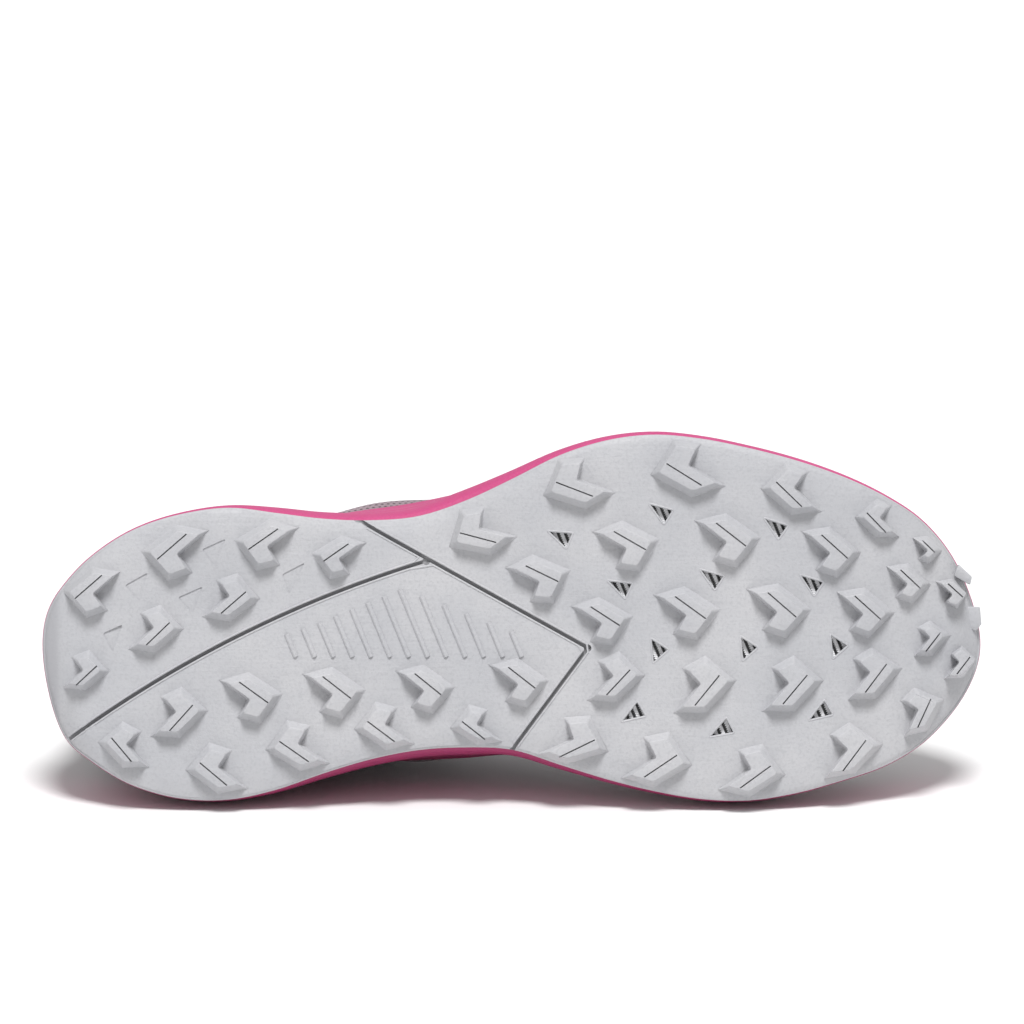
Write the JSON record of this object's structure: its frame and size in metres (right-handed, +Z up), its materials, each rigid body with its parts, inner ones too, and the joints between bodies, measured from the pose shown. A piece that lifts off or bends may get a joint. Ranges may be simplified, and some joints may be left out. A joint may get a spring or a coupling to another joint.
{
  "type": "trail running shoe",
  "caption": "Trail running shoe for the right foot with a chevron-lugged sole, foam midsole, hollow mesh upper, tongue and laces, lying on its inner side.",
  "frame": {"origin": "on the floor, under the middle of the lying shoe's bounding box", "axes": "+X from the heel to the toe, -Y out of the sole and up by 13 degrees, +Z up from the floor to the outer side of the shoe"},
  "size_m": [0.2946, 0.1186, 0.1147],
  "materials": {
    "grey rubber": "matte moulded rubber with fine grain",
    "plate weave": "stiff woven sheet under clear resin",
    "pink foam": "matte moulded foam",
    "grey mesh": "engineered mesh",
    "dark film": "thin heat-bonded film",
    "dark padding": "soft padded knit",
    "insole cloth": "brushed cloth",
    "lace cloth": "flat woven lace"
  },
  "bodies": {
    "root": {"outsole": "grey rubber", "plate": "plate weave", "midsole": "pink foam", "insole": "insole cloth", "upper": "grey mesh", "toe_cap": "dark film", "heel_counter": "dark film", "eyestay": "dark film", "tongue": "dark padding", "lace_bar": "lace cloth", "lace_crossing_1": "lace cloth", "lace_crossing_2": "lace cloth", "lace_crossing_3": "lace cloth", "lace_crossing_4": "lace cloth", "lace_crossing_5": "lace cloth"}
  },
  "joints": []
}
